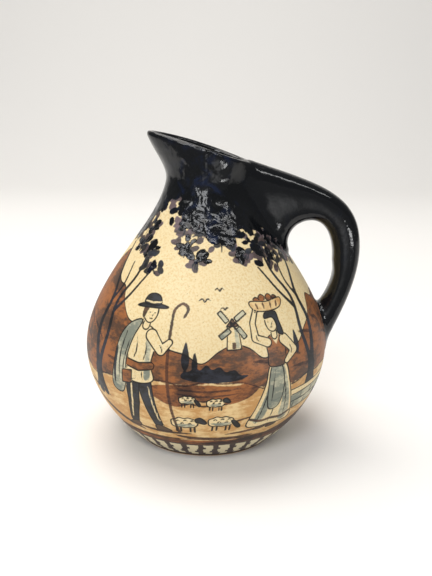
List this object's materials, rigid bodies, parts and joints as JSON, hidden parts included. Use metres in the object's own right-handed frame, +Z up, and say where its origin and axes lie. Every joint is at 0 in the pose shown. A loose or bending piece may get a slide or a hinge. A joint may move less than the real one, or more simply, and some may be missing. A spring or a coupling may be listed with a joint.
{
  "type": "stoneware pitcher",
  "caption": "Low pear-shaped stoneware pitcher with a slanted rim, a pinched spout and a high pulled handle that runs on from the rim.",
  "frame": {"origin": "centre of the flat foot, on the surface that the pitcher stands on", "axes": "+Z up, -X towards the spout, +X towards the handle, and the picture's side faces -Y"},
  "size_m": [0.1887, 0.1676, 0.2111],
  "materials": {
    "stoneware": "cream stoneware with painted decoration under a satin glaze, and a glossy blue-black glaze over the neck, the rim, the inside and the handle"
  },
  "bodies": {
    "root": {"pitcher": "stoneware"}
  },
  "joints": []
}
